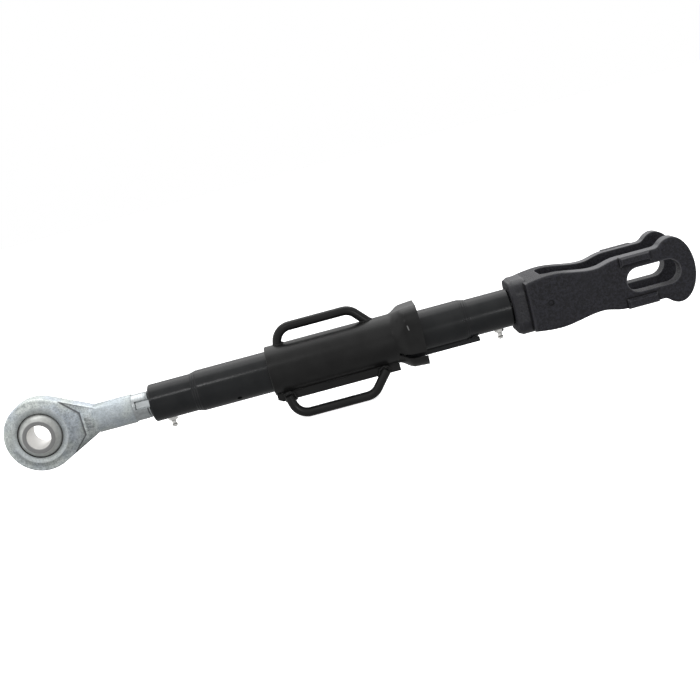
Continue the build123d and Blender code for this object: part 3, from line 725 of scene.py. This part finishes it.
# %% Spindles
THREAD_PITCH = 3.0 * MM
THREAD_DEPTH = 1.5 * MM
ROD_RUN_OUT = 24 * MM
FORK_RUN_OUT = 4 * MM
GROOVE_HALF = 4.0 * MM
GROOVE_DEPTH = 2.5 * MM
GROOVE_TURN = math.pi - math.radians(19.0)
GROOVE_START = 3.4 * MM
SHANK_END = 103.5 * MM
OVERLAP = 0.4 * MM
CUT_SHORT = 0.02 * MM
SAME_POINT = 0.002 * MM
SMOOTH_ANGLE = math.radians(32)


def spindle(name, node, body, start, end, hand, run_out, groove_start):
    """A threaded spindle that rides on a body and stands for a CAD node."""
    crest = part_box("clevis_spindle")[1][2]
    sizes = {
        "Start": start, "Length": end - start, "Crest": crest, "Depth": THREAD_DEPTH,
        "Pitch": THREAD_PITCH, "Hand": hand, "Run-out": run_out,
        "Groove Floor": crest - GROOVE_DEPTH, "Groove Half": GROOVE_HALF,
        "Groove Angle": GROOVE_TURN, "Groove Start": groove_start, "Material": thread_steel,
    }
    piece = cut.bake(name, bpy.data.meshes.new(name + "_start"), sizes)
    piece.data.set_sharp_from_angle(angle=SMOOTH_ANGLE)
    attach(piece, body)
    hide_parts(node)
    print(name, len(piece.data.polygons), "faces")


rod_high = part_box("rod_end")[1]
fork_low, fork_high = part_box("clevis_spindle")
spindle("rod_thread", "rod_end", "rod", SHANK_END - OVERLAP, rod_high[0], 1.0, ROD_RUN_OUT, GROOVE_START)
spindle("fork_thread", "clevis_spindle", "clevis", fork_low[0], fork_high[0], -1.0, FORK_RUN_OUT, 0.0)

forging = bmesh.new()
forging.from_mesh(NODES["rod_end"].data)
bmesh.ops.remove_doubles(forging, verts=forging.verts, dist=SAME_POINT)
everything = forging.verts[:] + forging.edges[:] + forging.faces[:]
cut_edges = bmesh.ops.bisect_plane(
    forging, geom=everything, plane_co=(SHANK_END - CUT_SHORT, 0, 0), plane_no=(1, 0, 0), clear_outer=True
)
rim = [item for item in cut_edges["geom_cut"] if isinstance(item, bmesh.types.BMEdge)]
bmesh.ops.holes_fill(forging, edges=rim)
bmesh.ops.recalc_face_normals(forging, faces=forging.faces)
forging_mesh = bpy.data.meshes.new("rod_forging")
forging.to_mesh(forging_mesh)
forging.free()
forging_mesh.shade_smooth()
forging_mesh.set_sharp_from_angle(angle=SMOOTH_ANGLE)
forging_mesh.materials.clear()
forging_mesh.materials.append(zinc_forging)
rod_forging = bpy.data.objects.new("rod_forging", forging_mesh)
scene.collection.objects.link(rod_forging)
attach(rod_forging, "rod")
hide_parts("rod_end")
print("rod_forging", len(forging_mesh.polygons), "faces")


# %% [markdown]
# ## Weld beads
# The handles, the channel and the key bar are welded on. Each weld is a path with a bead size. The tree
# walks along it, drops a small ball every millimetre and a half and varies the size a little, as a
# hand-held torch does.

# %% Weld recipe
DROP_ROUNDS = 2
BEAD_SEED = 7
# A random number has its float limits at these inputs and its float result at this output.
LEAST, MOST, DRAWN = 2, 3, 1

weld = Recipe("weld_bead", ["Step", "Spread"])
path_curve = weld.add("GeometryNodeMeshToCurve", None, {0: weld.entry.outputs["Geometry"]})
even = weld.add(
    "GeometryNodeResampleCurve", {"mode": "LENGTH"}, {0: path_curve.outputs[0], "Length": weld.given("Step")}
)
drop = weld.add("GeometryNodeMeshIcoSphere", None, {"Radius": 1.0, "Subdivisions": DROP_ROUNDS})
size = weld.add("GeometryNodeInputNamedAttribute", {"data_type": "FLOAT"}, {"Name": "bead"})
vary = weld.add(
    "FunctionNodeRandomValue",
    {"data_type": "FLOAT"},
    {LEAST: 1 - weld.given("Spread"), MOST: 1 + weld.given("Spread"), "Seed": BEAD_SEED},
)
beads = weld.add(
    "GeometryNodeInstanceOnPoints",
    None,
    {
        "Points": even.outputs[0],
        "Instance": drop.outputs[0],
        "Scale": Value(weld, size.outputs[0]) * Value(weld, vary.outputs[DRAWN]),
    },
)
weld.close(beads.outputs[0])
print("recipe:", weld.tree.name)


# %% [markdown]
# ## Where the welds run
# The upper handle's feet have a ring each on top of the sleeve. The lower handle's feet are welded to the
# channel's wall, with a heap on the end of the bar and a bead down both of its sides. The channel and the
# key bar are stitched along their top edges.

# %% Weld paths
RING_POINTS = 24
BEAD_STEP = 1.5 * MM
BEAD_SPREAD = 0.18
STITCH_BEAD = 1.2 * MM
FOOT_BEAD = 1.9 * MM
HEAP_BEAD = 3.0 * MM
# How far in from the handle's end a foot's middle is, and half of the ring's length or the bead's lean.
UPPER_LEFT_IN, UPPER_LEFT_HALF = 6.2 * MM, 5.2 * MM
UPPER_RIGHT_IN, UPPER_RIGHT_HALF = 7.2 * MM, 6.2 * MM
LOWER_LEFT_IN, LOWER_LEFT_LEAN = 5.6 * MM, 1 * MM
LOWER_RIGHT_IN, LOWER_RIGHT_LEAN = 5.4 * MM, -3 * MM
UPPER_SIDE_HALF = 5.2 * MM
FOOT_REACH = 5.0 * MM
FOOT_DROP = 1.5 * MM
HEAP_HALF = 2 * MM
HEAP_RISE = 1 * MM
HEAP_DROP = 2 * MM
WALL_STAND = 0.8 * MM
SLEEVE_STITCHES = ((262 * MM, 284 * MM), (312 * MM, 334 * MM), (368 * MM, 390 * MM))
KEY_STITCH = (334 * MM, 352 * MM)
KEY_END_STITCH = 462 * MM
KEY_END_SHORT = 1.5 * MM


def path_mesh(name, paths):
    """One mesh of open or closed paths, each given as (points, bead radius)."""
    points, edges, sizes = [], [], []
    for line, bead in paths:
        first = len(points)
        points += line
        sizes += [bead] * len(line)
        edges += [(first + index, first + index + 1) for index in range(len(line) - 1)]
    mesh = bpy.data.meshes.new(name)
    mesh.from_pydata(points, edges, [])
    mesh.attributes.new("bead", "FLOAT", "POINT").data.foreach_set("value", sizes)
    return mesh


def foot_ring(x, long_half, round_half, radius, bead):
    """A weld round a bar that stands on top of a round tube."""
    line = []
    for index in range(RING_POINTS + 1):
        turn_angle = 2 * math.pi * index / RING_POINTS
        y = round_half * math.sin(turn_angle)
        line.append((x + long_half * math.cos(turn_angle), y, math.sqrt(radius**2 - y**2)))
    return line, bead


def side_heap(x, half, high, bead):
    """The heap of weld on the end of a bar at the channel's wall."""
    line = [
        (x - HEAP_HALF, -half, high),
        (x, -half - HEAP_RISE, high + HEAP_RISE),
        (x + HEAP_HALF, -half, high),
    ]
    return line, bead


def side_foot(x, lean, half, high, low, bead):
    """A weld on the channel's wall: up one side of a bar, over its end and down the other side."""
    line = [
        (x - FOOT_REACH + lean, -half, low),
        (x - FOOT_REACH, -half, high),
        (x, -half - bead, high + bead),
        (x + FOOT_REACH, -half, high),
        (x + FOOT_REACH + lean, -half, low),
    ]
    return line, bead


def stitches(spans, half, radius, bead):
    """Straight welds on both sides of a bar, where it meets a round tube from below."""
    height = -math.sqrt(radius**2 - half**2)
    return [
        ([(start, side * half, height), (end, side * half, height)], bead)
        for side in (-1, 1) for start, end in spans
    ]


sleeve_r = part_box("lock_sleeve")[1][2]
channel_low, channel_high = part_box("key_channel")
upper_low, upper_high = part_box("handle_upper")
lower_low, lower_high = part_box("handle_lower")
key_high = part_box("key_bar")[1]
tube_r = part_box("tube")[1][2]
wall = channel_high[1] + WALL_STAND
foot_high = lower_high[2]
lower_feet = (
    (lower_low[0] + LOWER_LEFT_IN, LOWER_LEFT_LEAN),
    (lower_high[0] - LOWER_RIGHT_IN, LOWER_RIGHT_LEAN),
)
sleeve_paths = [
    foot_ring(upper_low[0] + UPPER_LEFT_IN, UPPER_LEFT_HALF, UPPER_SIDE_HALF, sleeve_r, STITCH_BEAD),
    foot_ring(upper_high[0] - UPPER_RIGHT_IN, UPPER_RIGHT_HALF, UPPER_SIDE_HALF, sleeve_r, STITCH_BEAD),
]
sleeve_paths += [side_heap(x, wall, foot_high - HEAP_DROP, HEAP_BEAD) for x, _ in lower_feet]
sleeve_paths += [
    side_foot(x, lean, wall, foot_high - FOOT_DROP, channel_low[2], FOOT_BEAD) for x, lean in lower_feet
]
sleeve_paths += stitches(SLEEVE_STITCHES, channel_high[1], sleeve_r, STITCH_BEAD)
key_spans = (KEY_STITCH, (KEY_END_STITCH, key_high[0] - KEY_END_SHORT))
tube_paths = stitches(key_spans, key_high[1], tube_r, STITCH_BEAD)
for name, body, slot, paint, paths in (
    ("sleeve_welds", "sleeve", "sleeve_black", sleeve_black, sleeve_paths),
    ("tube_welds", "tube", "tube_black", tube_black, tube_paths),
):
    sizes = {"Step": BEAD_STEP, "Spread": BEAD_SPREAD, "Material": paint}
    piece = weld.bake(name, path_mesh(name + "_paths", paths), sizes)
    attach(piece, body)
    print(name, len(piece.data.polygons), "faces")


# %% [markdown]
# ## Dressing the frame
# Every CAD node carries the name of its finish in the record, so the finishes are handed out by slot.

# %% Finishes on the CAD nodes
FINISHES = {
    "forged_black": forged_black,
    "thread_steel": thread_steel,
    "wiper_rubber": wiper_rubber,
    "tube_black": tube_black,
    "nipple_zinc": nipple_zinc,
    "sleeve_black": sleeve_black,
    "zinc_forging": zinc_forging,
    "ball_steel": ball_steel,
}
slots = {row["node"]: row["material_slot"] for row in frame["record"]["subparts"]}
for node, item in NODES.items():
    item.data.materials.clear()
    item.data.materials.append(FINISHES[slots[node]])
print("dressed", len(slots), "nodes")
